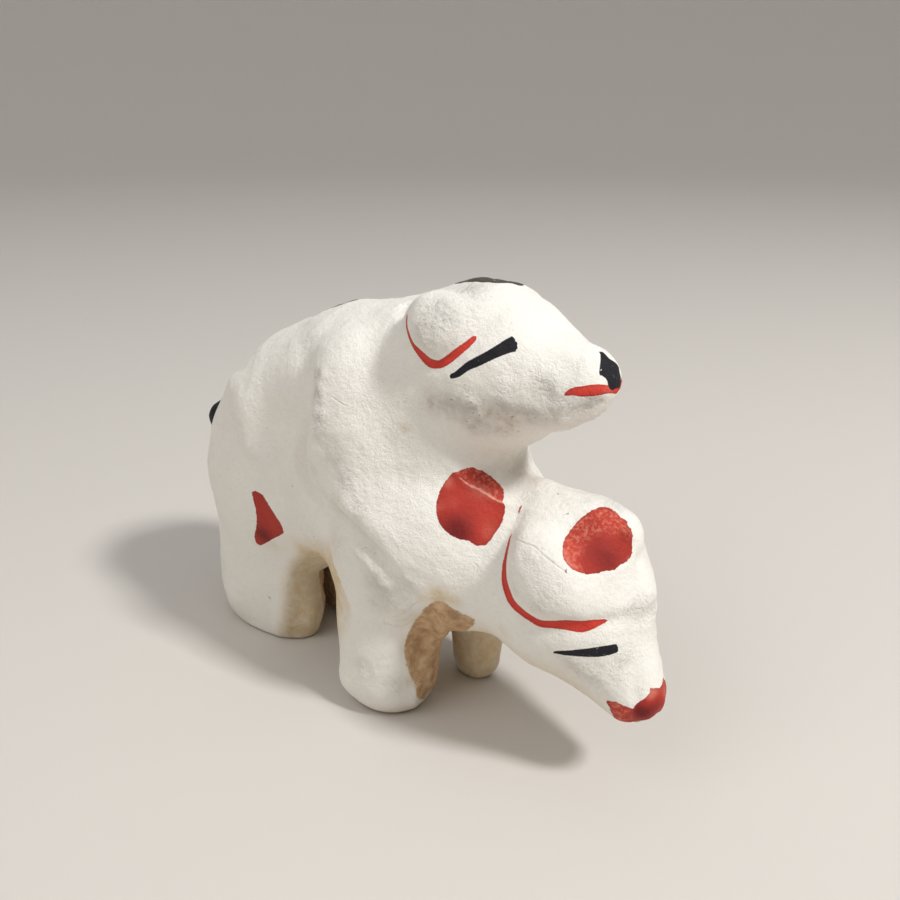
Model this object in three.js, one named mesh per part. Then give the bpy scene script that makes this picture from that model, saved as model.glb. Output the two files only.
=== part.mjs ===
// Clay figurine of two dogs, one standing with its forelegs over the other's back.
// The pair is pressed and fired as one piece, so it is one closed solid on four flat soles.
// Millimetres. X runs forward along both dogs, Y to their left and Z up from the table.
import * as THREE from "three";

// Driving dimensions
const surfaceCell = 1.5;
const soleHeight = 0;

const lowerTrunkRadius = 9;
const lowerTrunkHeight = 20.5;
const upperTrunkRadius = 9.4;
const legSlotHalfWidth = 2.1;
const legSlotHeight = 9.5;

const lowerSkullRadii = [7.8, 6.3, 7.6];
const lowerMuzzleRadius = 3.3;
const upperSkullRadii = [8.4, 6.3, 7.8];
const upperMuzzleRadius = 3.4;

const nearUpperEar = [[12.2, -4.4, 44], [4.3, 3.5, 3.9]];
const farUpperEar = [[12.4, 4, 42.5], [4, 3.2, 3.8]];
const nearLowerEar = [[25.8, -4.6, 23], [5.5, 3.6, 4.5]];
const farLowerEar = [[25.2, 4.2, 22], [5, 3.2, 4]];

const shoulderBladeRadii = [6.2, 5.2, 8.4];
const nearForeleg = { x: 4.9, y: 5.6, elbowRadius: 6.1, footRadius: 6.1 };
const farForeleg = { x: 9.4, y: 4.3, elbowRadius: 4.2, footRadius: 3 };
const forelegThickness = 0.88;
const hindLegRadius = 9.1;
const hindLegThickness = 0.48;

// The block of space that the group is laid out in
const spaceLow = [-31.5, -15, soleHeight - surfaceCell / 2];
const spaceHigh = [39, 15, 51];

// Signed distance to an ellipsoid, nodding forward by an angle in degrees
function ball(centre, radii, nod = 0) {
  const cosine = Math.cos(THREE.MathUtils.degToRad(nod));
  const sine = Math.sin(THREE.MathUtils.degToRad(nod));
  return (x, y, z) => {
    const forward = cosine * (x - centre[0]) - sine * (z - centre[2]);
    const side = y - centre[1];
    const up = sine * (x - centre[0]) + cosine * (z - centre[2]);
    const near = Math.hypot(forward / radii[0], side / radii[1], up / radii[2]);
    const steep = Math.hypot(forward / radii[0] ** 2, side / radii[1] ** 2, up / radii[2] ** 2);
    return steep > 1e-9 ? (near * (near - 1)) / steep : -Math.min(...radii);
  };
}

// Signed distance to a limb with round ends, which may be thinner across than along
function limb(from, to, fromRadius, toRadius, thickness = 1) {
  const start = [from[0], from[1] / thickness, from[2]];
  const run = [to[0] - start[0], to[1] / thickness - start[1], to[2] - start[2]];
  const runSquared = run[0] ** 2 + run[1] ** 2 + run[2] ** 2;
  const taper = fromRadius - toRadius;
  const flank = runSquared - taper * taper;
  return (x, y, z) => {
    const point = [x - start[0], y / thickness - start[1], z - start[2]];
    const along = point[0] * run[0] + point[1] * run[1] + point[2] * run[2];
    const past = along - runSquared;
    let offSquared = 0;
    for (let axis = 0; axis < 3; axis++) {
      offSquared += (point[axis] * runSquared - run[axis] * along) ** 2;
    }
    const alongSquared = along * along * runSquared;
    const pastSquared = past * past * runSquared;
    const slope = Math.sign(taper) * taper * taper * offSquared;
    let distance;
    if (Math.sign(past) * flank * pastSquared > slope) {
      distance = Math.sqrt(offSquared + pastSquared) / runSquared - toRadius;
    } else if (Math.sign(along) * flank * alongSquared < slope) {
      distance = Math.sqrt(offSquared + alongSquared) / runSquared - fromRadius;
    } else {
      distance = (Math.sqrt((offSquared * flank) / runSquared) + along * taper) / runSquared - fromRadius;
    }
    return distance * thickness;
  };
}

// Soft clay joins: one form runs into another, or is pressed out of it, over a short reach
function melt(first, second, reach) {
  const overlap = Math.max(reach - Math.abs(first - second), 0) / reach;
  return Math.min(first, second) - (overlap * overlap * reach) / 4;
}

function hollow(solid, space, reach) {
  const overlap = Math.max(reach - Math.abs(solid + space), 0) / reach;
  return Math.max(solid, -space) + (overlap * overlap * reach) / 4;
}

const forms = [];

function press(form, reach) {
  forms.push({ form, reach });
}

// Lower dog: level trunk, lowered neck and head, muzzle pointing down and forward
press(limb([-14.5, 0, lowerTrunkHeight], [9, 0, lowerTrunkHeight], lowerTrunkRadius, lowerTrunkRadius), 1);
press(limb([10, 0, 20.3], [21.5, 0, 20], 9, 7.5, 0.95), 5);
press(ball([24.6, 0, 21.7], lowerSkullRadii, 45), 3);
press(limb([26.2, 0, 17.8], [32.8, 0, 11.4], 6.6, lowerMuzzleRadius), 4);

// Upper dog: trunk rising from the rump to the shoulders, thick neck, level head
press(limb([-15.2, 0, 25.5], [-3, 0, 33.2], 9.2, upperTrunkRadius), 6);
press(ball([-11.8, 0, 31.4], [10.8, 9, 8.7], -30), 3);
press(limb([-2, 0, 34.2], [7.5, 0, 38.2], 9.1, 7.4, 0.94), 4);
press(limb([7, 0, 35], [8.4, 0, 31.4], 7.8, 8, 0.98), 6);
press(ball([13.9, 0, 40.3], upperSkullRadii, 4), 3);
press(limb([15.5, 0, 40.4], [25.2, 0, 40.9], 6.4, upperMuzzleRadius), 4);

// Paired forms, first on the right side and then on the left
for (const side of [-1, 1]) {
  const upperEar = ball(...(side < 0 ? nearUpperEar : farUpperEar));
  const shoulderBlade = ball([2, side * 6, 34.4], shoulderBladeRadii);
  const forearm = limb([2, side * 6, 31], [7, side * 5.8, 22], 6.2, 6.4, 0.86);
  const thigh = ball([-18, side * 5, 22.5], [6.7, 4.2, 9.5]);
  press(upperEar, 0.8);
  press(shoulderBlade, 1.7);
  press(forearm, 1.7);
  press(thigh, 2.5);

  const chest = ball([9.5, side * 4, 20.5], [7, 6.6, 8]);
  const shoulder = ball([11, side * 4.6, side < 0 ? 23.6 : 22], [6.4, 4.8, 5]);
  const lowerEar = ball(...(side < 0 ? nearLowerEar : farLowerEar), 40);
  press(chest, 3);
  press(shoulder, 3);
  press(lowerEar, 0.8);

  const leg = side < 0 ? nearForeleg : farForeleg;
  const elbow = [leg.x - 0.5, side * 5.4, 17];
  const ankle = [leg.x, side * leg.y, 0.76 * leg.footRadius];
  const fore = limb(elbow, ankle, leg.elbowRadius, leg.footRadius, forelegThickness);
  const hock = [-18.8, side * 4.3, 4.3];
  const hind = limb([-17.4, side * 4.8, 18], hock, 8.7, hindLegRadius, hindLegThickness);
  press(fore, 3);
  press(hind, 4);
}

// Web of clay left between the forelegs
press(ball([7.4, 0, 12.4], [3.6, 5, 4.6]), 2);

// Short thick tail, turned to the right
press(limb([-22.5, 0, 28.5], [-26.6, -3.6, 26], 2.7, 2.1), 1.5);

// Distance to the clay before its soles are cut flat, with the slot left between the legs
function clay(x, y, z) {
  let distance = forms[0].form(x, y, z);
  for (const { form, reach } of forms.slice(1)) {
    distance = melt(distance, form(x, y, z), reach);
  }
  const slot = Math.abs(y) - legSlotHalfWidth * (1 - z / legSlotHeight);
  return hollow(distance, slot, 0.8);
}

// Moves a point to the clay's surface by a few steps along the steepest way, level on a sole,
// and keeps it inside its own cell so that no two points meet
function settle(point, onSole) {
  const margin = 0.06 * surfaceCell;
  const corner = point.map((value, axis) => {
    return spaceLow[axis] + Math.floor((value - spaceLow[axis]) / surfaceCell) * surfaceCell;
  });
  const probe = 0.05;
  const axes = onSole ? [0, 1] : [0, 1, 2];
  for (let step = 0; step < 4; step++) {
    const distance = clay(...point);
    const rise = axes.map((axis) => {
      const ahead = [...point];
      const behind = [...point];
      ahead[axis] += probe;
      behind[axis] -= probe;
      return (clay(...ahead) - clay(...behind)) / (2 * probe);
    });
    const steepness = Math.max(rise.reduce((sum, part) => sum + part * part, 0), 0.04);
    const stride = THREE.MathUtils.clamp(distance / steepness, -surfaceCell / 3, surfaceCell / 3);
    axes.forEach((axis, index) => {
      const moved = point[axis] - stride * rise[index];
      const last = corner[axis] + surfaceCell - margin;
      point[axis] = THREE.MathUtils.clamp(moved, corner[axis] + margin, last);
    });
  }
}

// Lays the surface out on a grid: one point in each cell that the surface passes through,
// and one quad, split in two, across each grid edge that goes from clay to air
function surface() {
  const count = spaceLow.map((low, axis) => Math.ceil((spaceHigh[axis] - low) / surfaceCell) + 1);
  const place = (axis, index) => spaceLow[axis] + index * surfaceCell;
  const node = (i, j, k) => (k * count[1] + j) * count[0] + i;
  const values = new Float64Array(count[0] * count[1] * count[2]);
  const walls = new Float64Array(values.length);
  for (let k = 0; k < count[2]; k++) {
    for (let j = 0; j < count[1]; j++) {
      for (let i = 0; i < count[0]; i++) {
        const distance = clay(place(0, i), place(1, j), place(2, k));
        walls[node(i, j, k)] = distance;
        values[node(i, j, k)] = Math.max(distance, soleHeight - place(2, k));
      }
    }
  }

  const corners = [];
  for (let corner = 0; corner < 8; corner++) {
    corners.push([corner & 1, (corner >> 1) & 1, corner >> 2]);
  }
  const edges = [];
  for (let first = 0; first < 8; first++) {
    for (const bit of [1, 2, 4]) {
      if (!(first & bit)) edges.push([first, first | bit]);
    }
  }

  const points = [];
  const pointOf = new Int32Array(values.length).fill(-1);
  for (let k = 0; k < count[2] - 1; k++) {
    for (let j = 0; j < count[1] - 1; j++) {
      for (let i = 0; i < count[0] - 1; i++) {
        const nodes = corners.map(([a, b, c]) => node(i + a, j + b, k + c));
        const crossed = edges.filter(([a, b]) => values[nodes[a]] < 0 !== values[nodes[b]] < 0);
        if (crossed.length === 0) continue;
        const point = [0, 0, 0];
        for (const [a, b] of crossed) {
          const share = values[nodes[a]] / (values[nodes[a]] - values[nodes[b]]);
          for (let axis = 0; axis < 3; axis++) {
            const at = corners[a][axis] + share * (corners[b][axis] - corners[a][axis]);
            point[axis] += (place(axis, [i, j, k][axis]) + at * surfaceCell) / crossed.length;
          }
        }
        const onSole = k === 0;
        if (onSole) point[2] = soleHeight;
        const inside = nodes.filter((index) => walls[index] < 0).length;
        if (inside > 0 && inside < 8) settle(point, onSole);
        pointOf[node(i, j, k)] = points.length;
        points.push(point);
      }
    }
  }

  const triangles = [];
  const gap = (a, b) => Math.hypot(...points[a].map((value, axis) => value - points[b][axis]));
  for (let axis = 0; axis < 3; axis++) {
    const step = [0, 0, 0];
    const across = [0, 0, 0];
    const over = [0, 0, 0];
    step[axis] = 1;
    across[(axis + 1) % 3] = 1;
    over[(axis + 2) % 3] = 1;
    for (let k = over[2] + across[2]; k < count[2] - step[2]; k++) {
      for (let j = over[1] + across[1]; j < count[1] - step[1]; j++) {
        for (let i = over[0] + across[0]; i < count[0] - step[0]; i++) {
          const here = values[node(i, j, k)] < 0;
          const there = values[node(i + step[0], j + step[1], k + step[2])] < 0;
          if (here === there) continue;
          const cell = (a, b) => {
            const [u, v, w] = [0, 1, 2].map((part) => a * across[part] + b * over[part]);
            return pointOf[node(i - u, j - v, k - w)];
          };
          const ring = [cell(1, 1), cell(0, 1), cell(0, 0), cell(1, 0)];
          if (there) ring.reverse();
          const [a, b, c, d] = ring;
          if (gap(a, c) < gap(b, d)) {
            triangles.push(a, b, c, a, c, d);
          } else {
            triangles.push(a, b, d, b, c, d);
          }
        }
      }
    }
  }
  return { points, triangles };
}

// The finished solid stands on its soles, with the middle of its length and width at zero
const { points, triangles } = surface();
const geometry = new THREE.BufferGeometry();
geometry.setAttribute("position", new THREE.Float32BufferAttribute(points.flat(), 3));
geometry.setIndex(triangles);
geometry.computeBoundingBox();
const middle = geometry.boundingBox.getCenter(new THREE.Vector3());
geometry.translate(-middle.x, -middle.y, -soleHeight);
geometry.computeVertexNormals();

// Fired clay under a matt white chalk coat
const whiteClay = new THREE.MeshStandardMaterial({ color: 0xeae6df, roughness: 0.85, metalness: 0 });

const dogs = new THREE.Mesh(geometry, whiteClay);
dogs.name = "clay_dogs";

const figurine = new THREE.Group();
figurine.add(dogs);

export default figurine;
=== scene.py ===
import math

import bpy
import numpy as np
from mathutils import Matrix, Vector, noise


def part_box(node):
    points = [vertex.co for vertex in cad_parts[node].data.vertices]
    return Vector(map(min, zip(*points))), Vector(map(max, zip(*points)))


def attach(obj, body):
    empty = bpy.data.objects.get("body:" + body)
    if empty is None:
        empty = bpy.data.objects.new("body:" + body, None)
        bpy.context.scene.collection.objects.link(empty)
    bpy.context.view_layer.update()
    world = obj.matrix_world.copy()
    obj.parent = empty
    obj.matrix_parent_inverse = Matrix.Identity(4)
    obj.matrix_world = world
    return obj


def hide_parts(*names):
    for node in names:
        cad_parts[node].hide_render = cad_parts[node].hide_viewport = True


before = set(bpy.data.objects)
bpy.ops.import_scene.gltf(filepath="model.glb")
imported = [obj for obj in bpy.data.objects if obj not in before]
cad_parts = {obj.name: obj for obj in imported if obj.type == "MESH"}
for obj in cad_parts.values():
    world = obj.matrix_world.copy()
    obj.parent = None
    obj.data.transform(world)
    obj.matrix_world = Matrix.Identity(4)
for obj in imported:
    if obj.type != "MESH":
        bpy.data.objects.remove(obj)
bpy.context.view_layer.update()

# The camera
# It stands in front of the dogs and to their right, close by and looking down on them.
# All lengths below are in millimetres until a mesh is made.
METRE = 1000
camera_place = np.array([64.25, -65.34, 65.4])
camera_turn = math.radians(42)
camera_dip = math.radians(22)
photo_width = 900
photo_focal = 900

lens = bpy.data.cameras.new("photo_camera")
lens.sensor_width = 36
lens.lens = lens.sensor_width * photo_focal / photo_width
lens.clip_start = 0.005
camera = bpy.data.objects.new("photo_camera", lens)
camera.location = camera_place / METRE
camera.rotation_euler = (math.radians(90) - camera_dip, 0, camera_turn)
bpy.context.scene.collection.objects.link(camera)
bpy.context.scene.camera = camera

# The pair of dogs
# Two dogs pressed as one lump of clay, the upper one with its forelegs over the lower one's
# back. Each form below is a wad of clay, and wads run into each other over a short reach.
skin_cell = 0.36
sole_height = 0
sole_softness = 0.5
slot_half_width = 2.1
slot_narrowing = 0.22
slot_softness = 0.8
forms = []


def ball(centre, radii, nod=0):
    """Distance to an ellipsoid that nods forward by some degrees."""
    cosine, sine = math.cos(math.radians(nod)), math.sin(math.radians(nod))

    def distance(x, y, z):
        forward = cosine * (x - centre[0]) - sine * (z - centre[2])
        up = sine * (x - centre[0]) + cosine * (z - centre[2])
        shares = (forward / radii[0], (y - centre[1]) / radii[1], up / radii[2])
        near = np.sqrt(sum(share**2 for share in shares))
        steep = np.sqrt(sum((share / radius) ** 2 for share, radius in zip(shares, radii)))
        return near * (near - 1) / np.maximum(steep, 1e-9)

    return distance


def limb(start, end, start_radius, end_radius, thickness=1.0):
    """Distance to a limb with round ends, which may be thinner across than along."""
    squeeze = np.array([1, thickness, 1])
    start, end = np.array(start) / squeeze, np.array(end) / squeeze
    run = end - start
    length_squared = run @ run
    taper = start_radius - end_radius
    flank = length_squared - taper**2

    def distance(x, y, z):
        offset = (x - start[0], y / thickness - start[1], z - start[2])
        along = sum(part * step for part, step in zip(offset, run))
        past = along - length_squared
        off = sum((part * length_squared - step * along) ** 2 for part, step in zip(offset, run))
        along_squared = along * along * length_squared
        past_squared = past * past * length_squared
        slope = np.sign(taper) * taper**2 * off
        at_end = np.sign(past) * flank * past_squared > slope
        at_start = np.sign(along) * flank * along_squared < slope
        from_end = np.sqrt(off + past_squared) / length_squared - end_radius
        from_start = np.sqrt(off + along_squared) / length_squared - start_radius
        from_side = (np.sqrt(off * flank / length_squared) + along * taper) / length_squared - start_radius
        return thickness * np.where(at_end, from_end, np.where(at_start, from_start, from_side))

    return distance


def melt(first, second, reach):
    overlap = np.maximum(reach - np.abs(first - second), 0) / reach
    return np.minimum(first, second) - overlap**2 * reach / 4


def hollow(solid, space, reach):
    overlap = np.maximum(reach - np.abs(solid + space), 0) / reach
    return np.maximum(solid, -space) + overlap**2 * reach / 4


def press(form, reach):
    forms.append((form, reach))


# Lower dog: level trunk, lowered neck and head, muzzle pointing down
press(limb([-14.5, 0, 20.5], [9, 0, 20.5], 9, 9), 1)
press(limb([10, 0, 20.3], [21.5, 0, 20], 9, 7.5, 0.95), 5)
press(ball([24.6, 0, 21.7], [7.8, 6.3, 7.6], 45), 3)
press(limb([26.2, 0, 17.8], [32.8, 0, 11.4], 6.6, 3.3), 4)

# Upper dog: trunk rising from the rump to the shoulders, thick neck, level head
press(limb([-15.2, 0, 25.5], [-3, 0, 33.2], 9.2, 9.4), 6)
press(ball([-11.8, 0, 31.4], [10.8, 9, 8.7], -30), 3)
press(limb([-2, 0, 34.2], [7.5, 0, 38.2], 9.1, 7.4, 0.94), 4)
press(limb([7, 0, 35], [8.4, 0, 31.4], 7.8, 8, 0.98), 6)
press(ball([13.9, 0, 40.3], [8.4, 6.3, 7.8], 4), 3)
press(limb([15.5, 0, 40.4], [25.2, 0, 40.9], 6.4, 3.4), 4)

# Ears, arms, thighs, shoulders and legs, on the right side and on the left
right_forms = [
    (ball([12.2, -4.4, 44], [4.3, 3.5, 3.9]), 0.8),
    (ball([25.8, -4.6, 23], [5.5, 3.6, 4.5], 40), 0.8),
    (ball([11, -4.6, 23.6], [6.4, 4.8, 5]), 3),
    (limb([4.4, -5.4, 17], [4.9, -5.6, 4.6], 6.1, 6.1, 0.88), 3),
]
left_forms = [
    (ball([12.4, 4, 42.5], [4, 3.2, 3.8]), 0.8),
    (ball([25.2, 4.2, 22], [5, 3.2, 4], 40), 0.8),
    (ball([11, 4.6, 22], [6.4, 4.8, 5]), 3),
    (limb([8.9, 5.4, 17], [9.4, 4.3, 2.3], 4.2, 3, 0.88), 3),
]
for hand, own_forms in ((-1, right_forms), (1, left_forms)):
    for form, reach in own_forms:
        press(form, reach)
    press(ball([2, hand * 6, 34.4], [6.2, 5.2, 8.4]), 1.7)
    press(limb([2, hand * 6, 31], [7, hand * 5.8, 22], 6.2, 6.4, 0.86), 1.7)
    press(ball([-18, hand * 5, 22.5], [6.7, 4.2, 9.5]), 2.5)
    press(ball([9.5, hand * 4, 20.5], [7, 6.6, 8]), 3)
    press(limb([-17.4, hand * 4.8, 18], [-18.8, hand * 4.3, 4.3], 8.7, 9.1, 0.48), 4)

# Web of clay left between the forelegs, and the tail, turned to the right
press(ball([7.4, 0, 12.4], [3.6, 5, 4.6]), 2)
press(limb([-22.5, 0, 28.5], [-26.6, -3.6, 26], 2.7, 2.1), 1.5)


def clay(x, y, z):
    """Distance to the finished lump, with the slot between its legs and its soles cut flat."""
    distance = forms[0][0](x, y, z)
    for form, reach in forms[1:]:
        distance = melt(distance, form(x, y, z), reach)
    slot = np.abs(y) + slot_narrowing * z - slot_half_width
    return hollow(hollow(distance, slot, slot_softness), z - sole_height, sole_softness)


def steepest(points):
    """Way in which the distance to the clay grows fastest, at each point."""
    probe = 0.05
    rise = np.empty_like(points)
    for axis in range(3):
        step = np.zeros(3)
        step[axis] = probe
        rise[:, axis] = (clay(*(points + step).T) - clay(*(points - step).T)) / (2 * probe)
    return rise


def lay_skin(values, low, cell):
    """One point in each cell that the surface passes through, and a quad across each crossed edge."""
    cells = np.array(values.shape) - 1
    total = np.zeros((*cells, 3))
    hits = np.zeros(cells)
    for axis in range(3):
        first, second = [other for other in range(3) if other != axis]
        for first_step, second_step in ((0, 0), (0, 1), (1, 0), (1, 1)):
            begin = [slice(0, count) for count in cells]
            begin[first] = slice(first_step, first_step + cells[first])
            begin[second] = slice(second_step, second_step + cells[second])
            end = list(begin)
            end[axis] = slice(1, 1 + cells[axis])
            before, after = values[tuple(begin)], values[tuple(end)]
            crossed = (before < 0) != (after < 0)
            gap = np.where(crossed, before - after, 1)
            total[..., axis] += np.where(crossed, before / gap, 0)
            total[..., first] += first_step * crossed
            total[..., second] += second_step * crossed
            hits += crossed
    corners = np.argwhere(hits > 0)
    number = np.full(cells, -1)
    number[tuple(corners.T)] = np.arange(len(corners))
    points = low + cell * (corners + total[tuple(corners.T)] / hits[tuple(corners.T)][:, None])

    quads = []
    steps = np.eye(3, dtype=int)
    for axis in range(3):
        across, over = steps[(axis + 1) % 3], steps[(axis + 2) % 3]
        begin, end = across + over, cells
        here = values[tuple(slice(a, b) for a, b in zip(begin, end))] < 0
        there = values[tuple(slice(a, b) for a, b in zip(begin + steps[axis], end + steps[axis]))] < 0
        for turned in (False, True):
            found = np.argwhere((here != there) & (there == turned)) + begin
            ring = [found - across - over, found - over, found, found - across]
            ring = [number[tuple(cell_index.T)] for cell_index in ring]
            quads.append(np.stack(ring[::-1] if turned else ring, axis=1))
    return points, np.concatenate(quads)


space_low = np.array([-30.5, -14, sole_height - skin_cell / 2])
space_high = np.array([38, 14, 50])
counts = np.ceil((space_high - space_low) / skin_cell).astype(int) + 1
rows = [low + skin_cell * np.arange(count) for low, count in zip(space_low, counts)]
skin, quads = lay_skin(clay(*np.meshgrid(*rows, indexing="ij", sparse=True)), space_low, skin_cell)
settling_rounds = 3
least_rise_squared = 0.04
for _ in range(settling_rounds):
    rise = steepest(skin)
    stride = clay(*skin.T) / np.maximum((rise**2).sum(1), least_rise_squared)
    skin -= np.clip(stride, -skin_cell / 2, skin_cell / 2)[:, None] * rise
outward = steepest(skin)
outward /= np.linalg.norm(outward, axis=1)[:, None]
cad_box_low, cad_box_high = (np.array(corner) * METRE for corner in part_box("clay_dogs"))
shift = (cad_box_low + cad_box_high - skin.min(0) - skin.max(0)) / 2
shift[2] = 0
layout = skin.copy()
skin += shift

# Painted marks
# Strokes and discs of vermilion and black, brushed on by hand over the dry white coat.
# Each is laid out as it shows in the photograph, in its pixels, and carried onto the clay.
camera_right = np.array([math.cos(camera_turn), math.sin(camera_turn), 0])
camera_level = np.array([-math.sin(camera_turn), math.cos(camera_turn), 0])
camera_forward = camera_level * math.cos(camera_dip) - np.array([0, 0, math.sin(camera_dip)])
camera_up = camera_level * math.sin(camera_dip) + np.array([0, 0, math.cos(camera_dip)])
middle_overlap = 0.25
pick_radius = 5
pick_loss = 20
least_facing = 0.05
carry_margin = 4
carry_share = 1.6
cut_back = 3
far_off = 9.0
past_everything = 1e6


class Flank:
    """The clay as the camera sees it, or as it would with the dogs' left and right changed over."""

    def __init__(self, flip):
        mirror = np.array([1, flip, 1])
        self.points = skin * mirror
        away = self.points - camera_place
        self.depth = away @ camera_forward
        across = photo_width / 2 + photo_focal * (away @ camera_right) / self.depth
        down = photo_width / 2 - photo_focal * (away @ camera_up) / self.depth
        self.pixels = np.stack([across, down], axis=1)
        self.facing = -(away * outward * mirror).sum(1) / self.depth
        self.pixel_size = self.depth / photo_focal

    def nearest(self, pixel):
        """The point of clay in front, close to a pixel, or else the one nearest to that pixel."""
        beyond = np.maximum(np.linalg.norm(self.pixels - pixel, axis=1) - pick_radius, 0)
        return np.where(self.facing > least_facing, self.depth + pick_loss * beyond, past_everything).argmin()

    def around(self, drawn):
        """The clay that is near enough to a drawn shape to carry it."""
        drawn = np.array(drawn, float)[:, :2]
        middle = drawn.mean(0)
        apart = np.linalg.norm(drawn - middle, axis=1).max()
        front = self.nearest(middle)
        reach = carry_margin + carry_share * apart * self.pixel_size[front]
        close = np.linalg.norm(self.points - self.points[front], axis=1) < reach
        return close & (self.facing > -least_facing)


near_flank, far_flank = Flank(1), Flank(-1)
both_flanks = (near_flank, far_flank)


def smooth(corners, closed=True, steps=4):
    """Runs a smooth curve through drawn points."""
    corners = np.array(corners, float)
    if closed:
        before, after, later = (np.roll(corners, turn, axis=0) for turn in (1, -1, -2))
    else:
        before = np.concatenate([corners[:1], corners[:-1]])[:-1]
        after = corners[1:]
        later = np.concatenate([corners[2:], corners[-1:]])
        last = corners[-1:]
        corners = corners[:-1]
    rounded = []
    for t in np.arange(steps) / steps:
        rounded.append(0.5 * (
            2 * corners + (after - before) * t
            + (2 * before - 5 * corners + 4 * after - later) * t**2
            + (3 * corners - before - 3 * after + later) * t**3
        ))
    rounded = np.stack(rounded, axis=1).reshape(-1, corners.shape[1])
    return rounded if closed else np.concatenate([rounded, last])


def patch(flank, outline):
    """Millimetres from the edge of a filled shape, negative inside, from its outline's corners."""
    corners = np.array(outline, float)
    off = np.full(len(skin), past_everything)
    inside = np.zeros(len(skin), bool)
    x, y = flank.pixels.T
    for start, end in zip(corners, np.roll(corners, -1, axis=0)):
        run = end - start
        away = flank.pixels - start
        share = np.clip(away @ run / (run @ run), 0, 1)
        off = np.minimum(off, np.linalg.norm(away - share[:, None] * run, axis=1))
        if start[1] != end[1]:
            spans = (start[1] > y) != (end[1] > y)
            inside ^= spans & (x < run[0] * (y - start[1]) / run[1] + start[0])
    edge = np.where(inside, -off, off) * flank.pixel_size
    return np.where(flank.around(outline), edge, far_off)


def own_half(flank, edge):
    """Keeps a mark that is painted on both sides from crossing the middle."""
    return np.maximum(edge, flank.points[:, 1] - middle_overlap)


class Strokes:
    """Millimetres across the nearest stroke, signed, and the half width of the stroke there."""

    def __init__(self, clear):
        self.clear = clear
        self.offset = np.full(len(skin), far_off)
        self.half_width = np.full(len(skin), -far_off)

    def draw(self, flank, path, end_taper=1.0, crosses_middle=False):
        """Adds one stroke from points of (across, down, width)."""
        path = smooth(path, closed=False)
        closest = np.full(len(skin), past_everything)
        offset, half_width = np.empty(len(skin)), np.empty(len(skin))
        for step, (start, end) in enumerate(zip(path[:-1], path[1:])):
            run = end[:2] - start[:2]
            length = np.linalg.norm(run)
            away = flank.pixels - start[:2]
            share = away @ run / length**2
            held = np.clip(share, 0, 1)
            reach = np.linalg.norm(away - held[:, None] * run, axis=1)
            across = (run[0] * away[:, 1] - run[1] * away[:, 0]) / length
            beyond = np.zeros(len(skin))
            if step == 0:
                beyond = np.maximum(beyond, -share * length)
            if step == len(path) - 2:
                beyond = np.maximum(beyond, (share - 1) * length)
            here = reach < closest
            closest = np.where(here, reach, closest)
            signed = np.where(beyond > 0, across, np.copysign(reach, across))
            offset = np.where(here, signed, offset)
            width = start[2] + held * (end[2] - start[2])
            half_width = np.where(here, width / 2 - beyond / end_taper, half_width)
        offset, half_width = offset * flank.pixel_size, half_width * flank.pixel_size
        if not crosses_middle:
            half_width -= cut_back * np.maximum(flank.points[:, 1] - middle_overlap, 0)
        close = flank.around(path) & (np.abs(offset) < half_width + self.clear)
        better = close & (half_width - np.abs(offset) > self.half_width - np.abs(self.offset))
        self.offset = np.where(better, offset, self.offset)
        self.half_width = np.where(better, half_width, self.half_width)


upper_ear_line = [(405, 313, 1), (404, 323, 2), (405, 331.5, 2.6), (408, 341.5, 3.6), (413.5, 350, 5),
                  (420.5, 357, 7.5), (428.5, 363.5, 9.5), (436.5, 365, 8), (442.5, 363, 8),
                  (449.5, 358, 8), (458, 351, 7.5), (466.5, 344, 6.5), (473.5, 337, 5.5)]
upper_mouth = [(566, 394, 4), (573, 391.5, 7.5), (582, 391.5, 10.5), (592, 390.5, 11.5),
               (600, 389.5, 10.5), (609, 389.5, 8.5), (618, 389, 8.5)]
lower_ear_line = [(508.5, 531, 0.6), (505.5, 538, 1.6), (503.5, 545, 2), (501, 558, 3.2), (500.3, 569.5, 4.4),
                  (501.3, 581, 5.5), (504.5, 592, 6.3), (510, 602.5, 7), (519, 612, 6.6), (528.5, 619.5, 6.6),
                  (538.5, 625, 7.2), (551.5, 626.5, 8), (567, 627.5, 10.2), (581.5, 628.7, 12),
                  (593, 626.5, 9.5), (601.5, 624.3, 6), (608.5, 622.8, 3.5)]
brush_tick = [(520.5, 504.5, 1.6), (517, 510.5, 1.2)]
upper_eye = [(449.5, 376.5, 4.5), (456.5, 374.5, 6.5), (466.5, 367, 8), (475.5, 362.5, 9.5), (486.5, 357, 10),
             (498, 351, 11.5), (508, 346, 14), (515.5, 343.5, 16)]
lower_eye = [(552.5, 652.8, 1.5), (558, 652.7, 3), (570, 653.3, 5.5), (586, 653, 8.3), (600, 651.6, 10),
             (610, 649.5, 9.5), (617.5, 647.5, 8)]

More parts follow.
